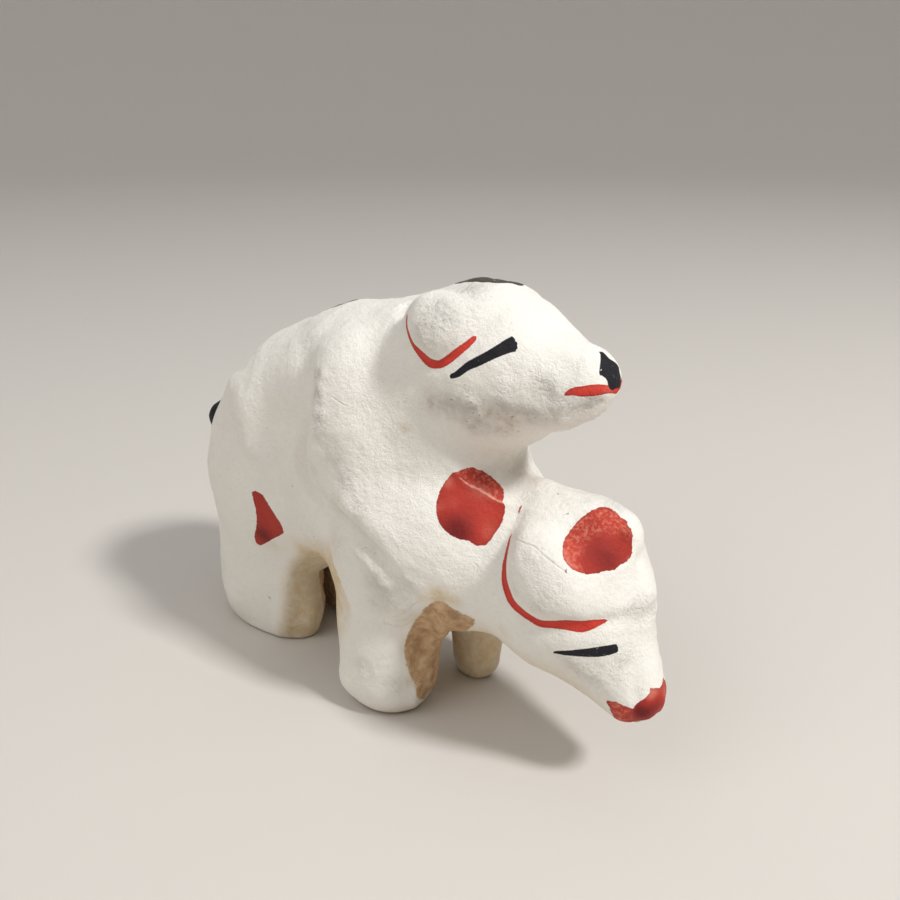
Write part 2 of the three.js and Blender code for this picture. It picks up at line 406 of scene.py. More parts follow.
shoulder_disc = [(467.8, 467.2), (475.6, 468.3), (484.4, 471.7), (492.2, 477.2), (499.4, 483.9),
                 (503.9, 489.4), (503.9, 496.7), (502.2, 502.2), (505.3, 505.6), (503.9, 513.3),
                 (499.4, 524.4), (494.4, 532.2), (490, 540), (484.4, 545.6), (477.8, 546.1),
                 (472.2, 543.9), (468.9, 540.6), (460, 539.4), (451.1, 535.6), (441.1, 526.7),
                 (436.7, 515.6), (435.8, 504.4), (438.9, 492.2), (445.6, 481.1), (453.3, 472.2), (462.2, 470)]
crown_disc = [(599.4, 509.5), (605, 511.5), (611.5, 516), (616.5, 523), (620.5, 524.8),
              (622, 530.5), (625, 533.5), (627, 540), (628, 548), (630, 553),
              (629.5, 557), (626, 561.5), (618.5, 565.6), (613.3, 571.1), (605, 570.6),
              (597.2, 573.3), (588.3, 574.4), (581.7, 573.3), (572.8, 570), (566.1, 563.9),
              (562.8, 556.7), (562.2, 550.6), (563.9, 540.6), (566.7, 535), (571.1, 528.5),
              (577.2, 521), (581.7, 517.5), (590.6, 511.5)]
lower_lips = [(605.6, 701.3), (616.3, 701.9), (625, 706.9), (633.1, 710.6), (637.5, 705), (645, 698.8),
              (649.4, 693.8), (650, 687.8), (655, 688), (663, 687.5), (674, 688), (675, 700),
              (667, 716), (655, 726), (640, 732), (624, 731), (616, 722), (610, 709)]
thigh_mark = [(252.5, 491.7), (261.7, 494), (273, 509), (285, 528.3), (282, 533.5), (271.7, 539),
              (260, 545), (255.5, 536), (257.5, 522), (256.5, 508)]
upper_nose = [(603, 348), (600.3, 351), (600.3, 362), (599.2, 375.5), (602.2, 375.3), (606.7, 378.9),
              (607.8, 383.3), (608.9, 387.8), (612.2, 390.9), (615.6, 388), (620, 384), (622, 372),
              (620, 360), (612, 350)]

clear_of_lines = 1.2
red_lines, ink_lines = Strokes(clear_of_lines), Strokes(clear_of_lines)
red_lines.draw(near_flank, brush_tick)
vermilion = np.full(len(skin), far_off)
ink = np.full(len(skin), far_off)
for flank in both_flanks:
    for path in (upper_ear_line, upper_mouth, lower_ear_line):
        red_lines.draw(flank, path)
    for path in (upper_eye, lower_eye):
        ink_lines.draw(flank, path, end_taper=0.25)
    vermilion = np.minimum(vermilion, patch(flank, smooth(thigh_mark)))
    ink = np.minimum(ink, own_half(flank, patch(flank, upper_nose)))
for outline in (shoulder_disc, crown_disc):
    vermilion = np.minimum(vermilion, patch(near_flank, outline))
vermilion = np.minimum(vermilion, patch(near_flank, lower_lips))
vermilion = np.minimum(vermilion, own_half(far_flank, patch(far_flank, lower_lips)))

# Thin greyish black on the upper dog's crown and back, its grey partly a painted sheen on these top faces,
# and its dipped tail
faded_ink_and_sheen = np.full(len(skin), far_off)
for centre, radii in (([12.8, 1.2, 48.4], [4.2, 2.3, 2]), ([-8.3, 0.7, 42.2], [4.8, 2.3, 3])):
    faded_ink_and_sheen = np.minimum(faded_ink_and_sheen, ball(centre, radii)(*layout.T))
ink = np.minimum(ink, ball([-27.4, -4.2, 25.6], [3.4, 3.4, 3.2])(*layout.T))
faded = np.clip(0.5 - faded_ink_and_sheen, 0, 1)
ink = np.minimum(ink, faded_ink_and_sheen)

# Red lies smooth in part of each disc, and grainy and half dry in the rest
smooth_red_parts = [
    [(455, 473), (468, 485), (478, 489.5), (488, 495.5), (497, 501), (507, 504), (506, 530), (485, 550),
     (460, 543), (438, 526), (432, 500), (440, 480)],
    [(588, 540), (602, 533), (616, 537), (630, 543), (630, 556), (612, 575), (588, 578), (580, 562)],
    [(248, 488), (266, 490), (292, 528), (262, 552), (248, 540)],
    [(634, 704), (642, 694), (652, 684), (680, 684), (682, 704), (660, 728), (640, 736), (632, 722)],
]
smooth_red = np.full(len(skin), far_off)
for outline in smooth_red_parts:
    smooth_red = np.minimum(smooth_red, patch(near_flank, smooth(outline)))
smooth_blend = 0.7
smooth_red = np.clip(0.5 - smooth_red / smooth_blend, 0, 1)


def dabs(places, flanks=both_flanks):
    """Soft round spots at pixels, from (across, down, radius, strength), measured on the clay."""
    total = np.zeros(len(skin))
    for flank in flanks:
        for across, down, radius, strength in places:
            front = flank.nearest((across, down))
            size = radius * flank.pixel_size[front]
            away = np.linalg.norm(flank.points - flank.points[front], axis=1)
            total += strength * np.exp(-((away / size) ** 2))
    return total


# Darker red at the lower edges of the discs and under the muzzle tip: painted shade
red_shade_places = [(460, 529, 17, 1), (262, 538, 11, 1), (648, 718, 11, 0.8), (660, 708, 8, 0.5),
                   (604, 553, 22, 0.55), (614, 560, 12, 0.3), (447, 518, 12, 0.3), (640, 716, 10, 0.5),
                   (481, 478, 9, 0.3)]
light_red_places = [(563, 547, 5, 1), (566, 560, 5, 1), (574, 570, 5, 0.8), (447, 484, 6, 0.7),
                    (478, 485, 8, 0.35), (488, 489, 7, 0.35), (440, 503, 6, 0.3), (487, 528, 10, 0.3),
                    (656, 692, 8, 0.9), (668, 692, 6, 0.6), (612, 390, 6, 0.4), (452, 505, 8, 0.25),
                    (617, 706, 5, 0.7)]
red_tone = dabs(red_shade_places, (near_flank,)) - dabs(light_red_places, (near_flank,))

# A fold in the chalk runs across the shoulder disc, and the red has rubbed off along it
disc_fold = [(458, 476, 1), (468, 484.5, 1.6), (478, 489, 2.2), (488, 495, 2.4), (497, 500.5, 1.8),
             (506, 504, 1)]
clear_of_cracks = 0.6
fold = Strokes(clear_of_cracks)
fold.draw(near_flank, disc_fold)

# Bare and thinly coated clay
# The brush did not reach the arch between the forelegs, the slot and the soles, which stay tan,
# and it left a thin yellowish coat on the far foreleg and on the front of the hind legs. The tan
# in the arch is partly bare clay and partly painted shade and warm floor light.
bare_and_shaded_arch = [(424, 610), (431, 604), (440, 602), (453, 609), (469, 617), (475, 621.5), (466, 632), (459, 640),
             (458, 660), (462, 700), (436, 703), (418, 699), (416, 688), (413, 680), (409, 672), (406, 662),
             (405, 652), (405.6, 642), (408, 634), (413, 626), (419, 619)]
thin_far_leg = [(470, 617), (505, 636), (506, 650), (501, 668), (490, 681), (473, 686), (462, 682),
                (459, 652), (457, 640), (464, 632)]
thin_hind_leg = [(306, 545), (325, 548), (343, 560), (346, 600), (332, 640), (284, 640), (286, 610),
                 (288, 580), (296, 560)]
slot_top = 9
slot_reach = 2.4
slot_wander = 1.8
wander_width = 3.5
arch_height = 10.5
x, y, z = layout.T
far_foreleg = (x > 2) & (y > 0.2)
bare = np.where(far_foreleg & (z < arch_height), far_off, patch(near_flank, smooth(bare_and_shaded_arch)))
wander = np.array([noise.noise(Vector(point) / wander_width) for point in layout])
slot_walls = np.maximum(np.abs(y) - slot_reach, z - slot_top) + slot_wander * wander
bare = np.minimum(bare, np.where(far_foreleg, far_off, slot_walls))
sole_facing = 0.8
sole_sharpness = 4
sole_rise = 2
soles = np.maximum((outward[:, 2] + sole_facing) * sole_sharpness, z - sole_rise)
bare = np.minimum(bare, soles)
bare_blend = 0.8
bare_and_shade_cover = np.clip(0.5 - bare / bare_blend, 0, 1)
thin = np.full(len(skin), far_off)
for flank in both_flanks:
    thin = np.minimum(thin, patch(flank, smooth(thin_hind_leg)))
thin = np.minimum(thin, patch(near_flank, smooth(thin_far_leg)))
thin = np.minimum(thin, np.where(far_foreleg, slot_walls, far_off))
thin_blend = 2.2
thin = np.clip(0.5 - thin / thin_blend, 0, 1)
# The strongest dabs, at the top of the arch between the forelegs, paint a warm glow of floor light there:
# painted reflection
thin_coat_and_glow_places = [(437, 601, 11, 0.95), (424, 604, 7, 0.5), (450, 604, 9, 0.5), (404, 430, 5, 0.45),
               (270, 548, 12, 0.22), (300, 548, 12, 0.35), (330, 546, 12, 0.3), (500, 633, 8, 0.3),
               (414, 622, 6, 0.5), (409, 650, 6, 0.4), (413, 684, 6, 0.4)]
thin = np.clip(thin + dabs(thin_coat_and_glow_places, (near_flank,)), 0, 1)
# Surfaces low on the dogs that face down take the thin coat's tan: painted shade and painted warm floor light
# under the belly and chest
under_height = 22
under_fade = 8
under_shade_share = 0.7
underside_shade = np.clip((-outward[:, 2] - 0.35) / 0.5, 0, 1) * np.clip((under_height - z) / under_fade, 0, 1)
thin = np.maximum(thin, under_shade_share * underside_shade)

# Brown grime in the rough white under the upper jaw, over the neck and round the ears. Under the upper jaw
# and along the belly the brown is partly painted shade.
grime_and_shade_places = [(430, 405, 14, 0.9), (455, 411, 14, 1), (480, 415, 14, 1), (505, 418, 14, 1),
                (470, 428, 12, 0.8), (500, 432, 12, 0.8), (360, 560, 16, 0.35), (335, 545, 18, 0.4),
                (310, 540, 16, 0.3), (530, 418, 12, 0.9), (555, 413, 10, 0.6), (440, 345, 12, 0.5),
                (418, 325, 10, 0.4), (400, 400, 12, 0.3), (510, 436, 12, 0.5), (405, 432, 8, 0.6),
                (465, 392, 9, 0.4), (468, 285, 12, 0.5), (512, 590, 7, 0.5), (535, 612, 8, 0.6),
                (312, 470, 8, 0.4), (335, 505, 10, 0.4), (370, 590, 12, 0.35), (385, 610, 10, 0.35),
                (590, 403, 8, 0.5), (578, 675, 14, 0.3), (635, 640, 12, 0.3)]
grime = np.clip(dabs(grime_and_shade_places), 0, 1)

# Hand-made relief
# Ridges and grooves left by the maker's fingers and by the mould's parting line, a crumbly
# chalk coat in places, and scratches and fine cracks in it.
lift = np.zeros(len(skin))


def line_on(path, height, width, flanks=both_flanks):
    """Raises or sinks the clay by millimetres along a line of pixels."""
    for flank in flanks:
        line = Strokes(far_off)
        line.draw(flank, [(*point, 0) for point in path], end_taper=4, crosses_middle=True)
        fade = np.exp(-np.maximum(-line.half_width, 0) ** 2)
        lift[:] += height * np.exp(-((line.offset / width) ** 2)) * fade


upper_ear_crease = [point[:2] for point in upper_ear_line]
lower_ear_crease = [point[:2] for point in lower_ear_line]
upper_ear_rim = [(411, 331), (416, 341), (423, 350), (433, 355), (443, 352), (452, 344)]
lower_ear_rim = [(508, 560), (509, 578), (514, 592), (524, 603), (540, 612), (562, 615), (585, 613)]
arm_crease = [(303, 430), (301, 447), (302, 465), (310, 485), (322, 502), (340, 517), (355, 532), (366, 545)]
arm_edge = [(309, 430), (309, 450), (312, 468), (320, 482), (332, 496), (348, 508)]
arm_groove = [(301, 362), (297, 385), (292, 403), (288, 430)]
hip_ridge = [(236, 382), (241, 405), (244, 425), (249, 443), (264, 456), (276, 474), (283, 492)]
hind_facet = [(304, 549), (293, 562), (288, 578), (286, 600), (283, 626)]
hind_hollow = [(322, 562), (312, 585), (306, 610), (300, 632)]
fore_crease = [(381, 622), (391, 626), (403, 627), (415, 621)]
inner_ridge = [(449, 618), (441, 630), (434, 642), (429, 655), (424, 672)]
inner_groove = [(424, 625), (418, 645), (419, 665), (424, 685)]
head_seam = [(642, 562), (641, 580), (640, 605), (638, 632), (635, 660), (636, 690)]
shoulder_fold = [(455, 472), (468, 485), (478, 489.5), (488, 495.5), (497, 501), (508, 504)]
jaw_crease = [(520, 425), (545, 426), (570, 418), (592, 411)]

line_on(upper_ear_crease, -0.4, 0.75)
line_on(upper_ear_rim, 0.2, 1.3)
line_on(lower_ear_crease, -0.4, 0.8)
line_on(lower_ear_rim, 0.12, 1.4)
line_on(arm_crease, -1.25, 0.6)
line_on(arm_edge, 0.45, 1.2)
line_on(arm_groove, -0.35, 1.1)
line_on(hip_ridge, 0.6, 1.2)
line_on(hind_facet, 0.4, 1.1)
line_on(hind_hollow, -0.4, 1.8)
line_on(fore_crease, -0.2, 0.6, (near_flank,))
line_on(inner_ridge, 0.6, 0.6, (near_flank,))
line_on(inner_groove, -0.45, 1.0, (near_flank,))
line_on(head_seam, -0.3, 0.7, (near_flank,))
line_on(shoulder_fold, 0.14, 0.35, (near_flank,))
line_on(jaw_crease, -0.2, 0.8)

hollow_places = [(272, 420, 28, -0.6), (232, 440, 20, -0.3), (400, 600, 14, -0.2)]
bump_places = [(268, 395, 18, 0.2), (545, 382, 9, 0.18), (556, 392, 7, 0.15), (320, 618, 16, 0.4),
               (395, 612, 10, 0.2), (366, 590, 14, 0.2), (338, 430, 16, 0.15), (545, 427, 28, 0.45)]
outline_places = [(622, 540, 30, 0.25), (645, 559, 8, -0.35), (656, 602, 20, 0.8), (602, 498, 16, 0.35),
                  (542, 480, 16, 0.7), (531, 464, 14, 0.2), (566, 424, 24, 0.8), (560, 320, 22, -0.65),
                  (614, 352, 9, -0.25), (228, 598, 20, 0.6), (342, 682, 18, 0.7)]
lift += dabs(hollow_places) + dabs(bump_places) + dabs(outline_places, (near_flank,))

# The lower dog's far brow stands out past its crown
far_brow = np.array([29.3, 3.2, 27])
brow_radius = 2.7
brow_height = 1.2
lift += brow_height * np.exp(-((np.linalg.norm(layout - far_brow, axis=1) / brow_radius) ** 2))

crumb_places = [(487, 478, 9, 0.8), (594, 521, 12, 0.8), (578, 530, 8, 0.6), (622, 535, 8, 0.6),
                (314, 372, 9, 0.7), (314, 395, 9, 1), (318, 420, 9, 1), (316, 435, 8, 0.7),
                (330, 455, 12, 0.6), (340, 480, 14, 0.6), (358, 510, 14, 0.5), (560, 408, 12, 0.8),
                (585, 406, 12, 1), (603, 400, 9, 0.9), (430, 320, 20, 0.6), (460, 315, 16, 0.5),
                (545, 385, 12, 0.8), (500, 400, 16, 0.5), (470, 410, 18, 0.7), (440, 405, 16, 0.5),
                (530, 415, 14, 0.6), (375, 585, 16, 0.7), (372, 607, 12, 0.6), (400, 610, 10, 0.5),
                (480, 430, 14, 0.5), (545, 595, 14, 0.35), (525, 560, 12, 0.3), (470, 285, 18, 0.8),
                (640, 610, 14, 0.5), (440, 300, 16, 0.7), (425, 340, 14, 0.6), (405, 590, 12, 0.6),
                (385, 600, 12, 0.6), (630, 660, 14, 0.5), (590, 680, 16, 0.5), (565, 665, 12, 0.5),
                (505, 410, 12, 0.5), (400, 690, 14, 0.5), (360, 670, 14, 0.4), (575, 500, 16, 0.3),
                (530, 490, 12, 0.4)]
crumbs = np.clip(dabs(crumb_places), 0, 1)

scratches = [
    [(332, 397, 0.8), (340, 403, 1.2), (346, 406, 0.8)], [(395, 617, 1), (408, 610, 2), (419, 602, 1)],
    [(383, 623, 1), (392, 626, 1.6), (404, 627, 1.6), (414, 621, 1)],
    [(514, 538, 0.8), (524, 543, 1.6), (534, 546.5, 1.4), (540, 552, 1.8), (550, 561, 1.6), (565, 572, 0.8)],
    [(536, 381, 1), (543, 384, 2), (550, 382, 1)], [(540, 391, 1), (549, 391, 2), (557, 387, 1)],
    [(497, 391, 1), (503, 394, 1.8), (508, 393, 1)], [(474, 563, 0.8), (478, 568, 1.4), (476, 572, 0.8)],
    [(568, 666, 1), (575, 671, 1.8), (580, 678, 1)], [(446, 632, 1), (440, 640, 1.6), (437, 650, 1)],
    [(428, 668, 1), (425, 676, 1.4), (421, 682, 1)],
]
scored = Strokes(clear_of_cracks)
for path in scratches:
    scored.draw(near_flank, path, end_taper=2)

# Waves and dimples left by the fingers, the chalk's lumps, and a faint parting line
wave_height, wave_width = 0.26, 7
dimple_height, dimple_width = 0.1, 2.6
lump_height, crumb_height, lump_width = 0.05, 0.18, 0.9
seam_height, seam_unevenness, unevenness_width = 0.1, 0.12, 3
seam_side, seam_width, seam_foot = 0.25, 0.5, 9
clay_height, clay_width = 0.25, 1.5
flat_sole_edge = 1.2
seam = np.exp(-(((y - seam_side) / seam_width) ** 2)) * (z > seam_foot)
for index, point in enumerate(layout):
    place = Vector(point)
    waves = wave_height * noise.noise(place / wave_width)
    lift[index] += waves + dimple_height * noise.noise(place / dimple_width)
    lift[index] += (lump_height + crumb_height * crumbs[index]) * noise.noise(place / lump_width)
    uneven = seam_unevenness * noise.noise(place / unevenness_width)
    lift[index] += seam[index] * (seam_height + uneven)
    if bare_and_shade_cover[index] > 0:
        lift[index] += bare_and_shade_cover[index] * clay_height * noise.noise(place / clay_width)
lift *= np.clip(z / flat_sole_edge, 0, 1)
skin += lift[:, None] * outward

# How closed in the clay is, from how near other clay stands to a point held off its surface; the coat is
# darkened by it in creases and hollows as painted shade
cavity_reach = 2.2
cavity = 1 - clay(*(layout + cavity_reach * outward).T) / cavity_reach

mesh = bpy.data.meshes.new("dog_pair")
mesh.from_pydata((skin / METRE).tolist(), [], quads.tolist())
mesh.shade_smooth()
surface_values = {
    "vermilion": vermilion, "red_across": red_lines.offset, "red_half_width": red_lines.half_width,
    "ink": ink, "ink_across": ink_lines.offset, "ink_half_width": ink_lines.half_width, "faded": faded,
    "smooth_red": smooth_red, "red_tone": red_tone, "bare": bare_and_shade_cover, "thin": thin, "grime": grime,
    "crumbs": crumbs, "scored_across": scored.offset, "scored_half_width": scored.half_width,
    "cavity": cavity, "fold_across": fold.offset, "fold_half_width": fold.half_width,
}
for name, values in surface_values.items():
    mesh.attributes.new(name, "FLOAT", "POINT").data.foreach_set("value", values.astype(np.float32))
dog_pair = bpy.data.objects.new("dog_pair", mesh)
bpy.context.scene.collection.objects.link(dog_pair)
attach(dog_pair, "root")
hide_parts("clay_dogs")


# Chalk coat and paint
# Ground shell white in glue, brushed on thick over low-fired clay, with pigment over it. It is
# dead matt and a little warm, grainy where the brush dragged, with brown dirt in its pores.
def tone(colour):
    """Linear colour of an sRGB hex value."""
    parts = [int(colour[i : i + 2], 16) / 255 for i in (0, 2, 4)]
    return [part / 12.92 if part <= 0.04045 else ((part + 0.055) / 1.055) ** 2.4 for part in parts] + [1]


def add(kind, inputs=(), **settings):
    """Adds a node to the coat, with its settings, and its inputs as values or as (node, output)."""
    made = tree.nodes.new(kind)
    for name, value in settings.items():
        setattr(made, name, value)
    for socket, value in dict(inputs).items():
        if isinstance(value, tuple) and isinstance(value[0], bpy.types.Node):
            tree.links.new(value[0].outputs[value[1]], made.inputs[socket])
        else:
            made.inputs[socket].default_value = value
    return made


coat = bpy.data.materials.new("chalk_coated_clay")
coat.use_nodes = True
tree = coat.node_tree
tree.nodes.clear()

object_place = add("ShaderNodeTexCoord")
in_mm = add("ShaderNodeVectorMath", {0: (object_place, "Object"), "Scale": METRE}, operation="SCALE")
on_clay = {}
for name in surface_values:
    on_clay[name] = (add("ShaderNodeAttribute", attribute_name=name), "Fac")

# Widths in millimetres of the coat's clouds, patches, mottling, grains, dust and lone spots.
# Real chalk dust is finer, and is drawn as coarse as it needs to show.
cloud_width = 7.143
patch_width = 3.03
mottle_width = 1
grain_width = 0.4167
dust_width = 0.1538
spot_width = 0.909
clouds = add("ShaderNodeTexNoise", {"Vector": (in_mm, 0), "Scale": 1 / cloud_width, "Detail": 3})
patches = add("ShaderNodeTexNoise", {"Vector": (in_mm, 0), "Scale": 1 / patch_width, "Detail": 4})
mottling_inputs = {"Vector": (in_mm, 0), "Scale": 1 / mottle_width, "Detail": 5, "Roughness": 0.6}
mottling = add("ShaderNodeTexNoise", mottling_inputs)
grain_inputs = {"Vector": (in_mm, 0), "Scale": 1 / grain_width, "Detail": 5, "Roughness": 0.65}
grains = add("ShaderNodeTexNoise", grain_inputs)
dust_inputs = {"Vector": (in_mm, 0), "Scale": 1 / dust_width, "Detail": 3, "Roughness": 0.6}
dust = add("ShaderNodeTexNoise", dust_inputs)

# White: creamy where it is thick, greyer where it is thin, with brown dirt held in the pores, and brown
# painted shade in creases together with the grime dabs
white = add("ShaderNodeMix", {0: (clouds, 0), 6: tone("F4F1E9"), 7: tone("E9E5DD")}, data_type="RGBA")
pores = add("ShaderNodeMapRange", {0: (grains, 0), 1: 0.5, 2: 0.32})
pore_dirt = add("ShaderNodeMapRange", {0: on_clay["crumbs"], 3: 0.1, 4: 0.35})
pore_share = add("ShaderNodeMath", {0: (pores, 0), 1: (pore_dirt, 0)}, operation="MULTIPLY")
pored = add("ShaderNodeMix", {0: (pore_share, 0), 6: (white, 2), 7: tone("BDB0A2")}, data_type="RGBA")
# Creases and hollows are browned by how closed in the clay is: painted shade
crease_shade = add("ShaderNodeMapRange", {0: on_clay["cavity"], 1: 0.2, 2: 0.8, 4: 0.8})
shade_and_dirt_here = add("ShaderNodeMath", {0: (crease_shade, 0), 1: on_clay["grime"]}, operation="ADD")
shade_and_dirt_cut = add("ShaderNodeMapRange", {0: (mottling, 0), 1: 0.3, 2: 0.72})
shade_and_dirt_share = add("ShaderNodeMath", {0: (shade_and_dirt_here, 0), 1: (shade_and_dirt_cut, 0)}, operation="MULTIPLY")
shade_and_dirt_amount = add("ShaderNodeMath", {0: (shade_and_dirt_share, 0), 1: 0.6}, operation="MULTIPLY", use_clamp=True)
shaded_and_grimy = add("ShaderNodeMix", {0: (shade_and_dirt_amount, 0), 6: (pored, 2), 7: tone("A58C74")}, data_type="RGBA")
fleck_cut = add("ShaderNodeMapRange", {0: (grains, 0), 1: 0.62, 2: 0.68})
fleck_here = add("ShaderNodeMapRange", {0: on_clay["grime"], 3: 0.08, 4: 0.9})
fleck = add("ShaderNodeMath", {0: (fleck_cut, 0), 1: (fleck_here, 0)}, operation="MULTIPLY")
flecked = add("ShaderNodeMix", {0: (fleck, 0), 6: (shaded_and_grimy, 2), 7: tone("7C6350")}, data_type="RGBA")
spot_inputs = {"Vector": (in_mm, 0), "Scale": 1 / spot_width, "Detail": 1, "Distortion": 0.8}
lone_spots = add("ShaderNodeTexNoise", spot_inputs)
spot = add("ShaderNodeMapRange", {0: (lone_spots, 0), 1: 0.81, 2: 0.84})
spotted = add("ShaderNodeMix", {0: (spot, 0), 6: (flecked, 2), 7: tone("95877A")}, data_type="RGBA")

# Thin coat: the clay's tan shows through, in patches. The same tan also paints shade and warm floor light
# under the dogs and in the arch.
thin_cut = add("ShaderNodeMapRange", {0: (mottling, 0), 1: 0.3, 2: 0.7, 3: 0.55, 4: 1.1})
thin_and_shade_inputs = {0: on_clay["thin"], 1: (thin_cut, 0)}
thin_and_shade_share = add("ShaderNodeMath", thin_and_shade_inputs, operation="MULTIPLY", use_clamp=True)
cream = add("ShaderNodeMix", {0: (patches, 0), 6: tone("CDB288"), 7: tone("E0CCA6")}, data_type="RGBA")
with_cream = add("ShaderNodeMix", {0: (thin_and_shade_share, 0), 6: (spotted, 2), 7: (cream, 2)}, data_type="RGBA")

# Fired clay: tan and mottled, where the white did not reach; in the arch between the forelegs it is also
# painted shade and warm floor light
bare_edge = add("ShaderNodeMath", {0: (grains, 0), 1: -0.5}, operation="ADD")
bare_ragged = add("ShaderNodeMath", {0: on_clay["bare"], 1: (bare_edge, 0)}, operation="ADD")
bare_and_shade_share = add("ShaderNodeMapRange", {0: (bare_ragged, 0), 1: 0.4, 2: 0.6})
clay_cut = add("ShaderNodeMapRange", {0: (mottling, 0), 1: 0.28, 2: 0.72})
tan = add("ShaderNodeMix", {0: (clay_cut, 0), 6: tone("A27C5B"), 7: tone("D9BA94")}, data_type="RGBA")
with_clay = add("ShaderNodeMix", {0: (bare_and_shade_share, 0), 6: (with_cream, 2), 7: (tan, 2)}, data_type="RGBA")

# Scratches and cracks hold a little dirt
scored_off = add("ShaderNodeMath", {0: on_clay["scored_across"]}, operation="ABSOLUTE")
scored_inputs = {0: on_clay["scored_half_width"], 1: (scored_off, 0)}
scored_depth = add("ShaderNodeMath", scored_inputs, operation="SUBTRACT")
scored_in = add("ShaderNodeMapRange", {0: (scored_depth, 0), 1: -0.08, 2: 0.06})
scored_dirt = add("ShaderNodeMath", {0: (scored_in, 0), 1: 0.12}, operation="MULTIPLY")
scratch_inputs = {0: (scored_dirt, 0), 6: (with_clay, 2), 7: tone("A39485")}
scratched = add("ShaderNodeMix", scratch_inputs, data_type="RGBA")

# Vermilion, a pigment as dense as poster paint: grainy where the brush was dry, with light flecks on
# the grain that are partly painted glints, darker towards the lower edges of the discs and under
# the muzzle tip as painted shade, and with a thin darker rim where it dried last
ragged = add("ShaderNodeMapRange", {0: (grains, 0), 3: -0.16, 4: 0.16})
ragged_fine = add("ShaderNodeMapRange", {0: (dust, 0), 3: -0.05, 4: 0.05})
disc_edge = add("ShaderNodeMath", {0: on_clay["vermilion"], 1: (ragged, 0)}, operation="ADD")
line_off = add("ShaderNodeMath", {0: on_clay["red_across"]}, operation="ABSOLUTE")
line_edge = add("ShaderNodeMath", {0: (line_off, 0), 1: on_clay["red_half_width"]}, operation="SUBTRACT")
line_ragged = add("ShaderNodeMath", {0: (line_edge, 0), 1: (ragged_fine, 0)}, operation="ADD")
red_edge = add("ShaderNodeMath", {0: (disc_edge, 0), 1: (line_ragged, 0)}, operation="MINIMUM")
red_share = add("ShaderNodeMapRange", {0: (red_edge, 0), 1: 0.03, 2: -0.03})
is_line = add("ShaderNodeMapRange", {0: on_clay["vermilion"], 1: 0.3, 2: 0.6})
dry_red = add("ShaderNodeMix", {0: (mottling, 0), 6: tone("9E2A22"), 7: tone("D25341")}, data_type="RGBA")
# Light flecks on the dry red's grain are partly painted glints on its rough top
flake_and_glint = add("ShaderNodeMapRange", {0: (grains, 0), 1: 0.48, 2: 0.62, 4: 0.8})
grainy_red = add("ShaderNodeMix", {0: (flake_and_glint, 0), 6: (dry_red, 2), 7: tone("DE7F6B")}, data_type="RGBA")
even_red = add("ShaderNodeMix", {0: (patches, 0), 6: tone("9E2C26"), 7: tone("BC4032")}, data_type="RGBA")
disc_inputs = {0: on_clay["smooth_red"], 6: (grainy_red, 2), 7: (even_red, 2)}
disc_red = add("ShaderNodeMix", disc_inputs, data_type="RGBA")
line_red = add("ShaderNodeMix", {0: (mottling, 0), 6: tone("C0352C"), 7: tone("E04C3C")}, data_type="RGBA")
any_red = add("ShaderNodeMix", {0: (is_line, 0), 6: (disc_red, 2), 7: (line_red, 2)}, data_type="RGBA")
darker = add("ShaderNodeMapRange", {0: on_clay["red_tone"], 1: 0.0, 2: 1.0, 4: 0.85})
lighter = add("ShaderNodeMapRange", {0: on_clay["red_tone"], 1: 0.0, 2: -1.0, 4: 0.7})
shaded_red = add("ShaderNodeMix", {0: (darker, 0), 6: (any_red, 2), 7: tone("641A1C")}, data_type="RGBA")
toned_red = add("ShaderNodeMix", {0: (lighter, 0), 6: (shaded_red, 2), 7: tone("E48D79")}, data_type="RGBA")
rim = add("ShaderNodeMapRange", {0: (red_edge, 0), 1: -0.2, 2: -0.04, 4: 0.35})
rimmed_red = add("ShaderNodeMix", {0: (rim, 0), 6: (toned_red, 2), 7: tone("7E2320")}, data_type="RGBA")
fold_off = add("ShaderNodeMath", {0: on_clay["fold_across"]}, operation="ABSOLUTE")
fold_depth = add("ShaderNodeMath", {0: on_clay["fold_half_width"], 1: (fold_off, 0)}, operation="SUBTRACT")
fold_ragged = add("ShaderNodeMath", {0: (fold_depth, 0), 1: (ragged, 0)}, operation="ADD")
fold_share = add("ShaderNodeMapRange", {0: (fold_ragged, 0), 1: -0.06, 2: 0.06, 4: 0.8})
red = add("ShaderNodeMix", {0: (fold_share, 0), 6: (rimmed_red, 2), 7: tone("E9A797")}, data_type="RGBA")
with_red = add("ShaderNodeMix", {0: (red_share, 0), 6: (scratched, 2), 7: (red, 2)}, data_type="RGBA")

# Black, lamp soot in glue, brushed last: bluish, with pin-holes, and grey on the crown, partly thin and
# partly painted sheen
ink_off = add("ShaderNodeMath", {0: on_clay["ink_across"]}, operation="ABSOLUTE")
eye_edge = add("ShaderNodeMath", {0: (ink_off, 0), 1: on_clay["ink_half_width"]}, operation="SUBTRACT")
any_ink = add("ShaderNodeMath", {0: (eye_edge, 0), 1: on_clay["ink"]}, operation="MINIMUM")
ink_ragged = add("ShaderNodeMath", {0: (any_ink, 0), 1: (ragged_fine, 0)}, operation="ADD")
ink_share = add("ShaderNodeMapRange", {0: (ink_ragged, 0), 1: 0.03, 2: -0.03})
pin_holes = add("ShaderNodeMapRange", {0: (grains, 0), 1: 0.72, 2: 0.66})
ink_whole = add("ShaderNodeMath", {0: (ink_share, 0), 1: (pin_holes, 0)}, operation="MULTIPLY")
soot = add("ShaderNodeMix", {0: (patches, 0), 6: tone("17161B"), 7: tone("27262C")}, data_type="RGBA")
black = add("ShaderNodeMix", {0: on_clay["faded"], 6: (soot, 2), 7: tone("55524C")}, data_type="RGBA")
with_ink = add("ShaderNodeMix", {0: (ink_whole, 0), 6: (with_red, 2), 7: (black, 2)}, data_type="RGBA")

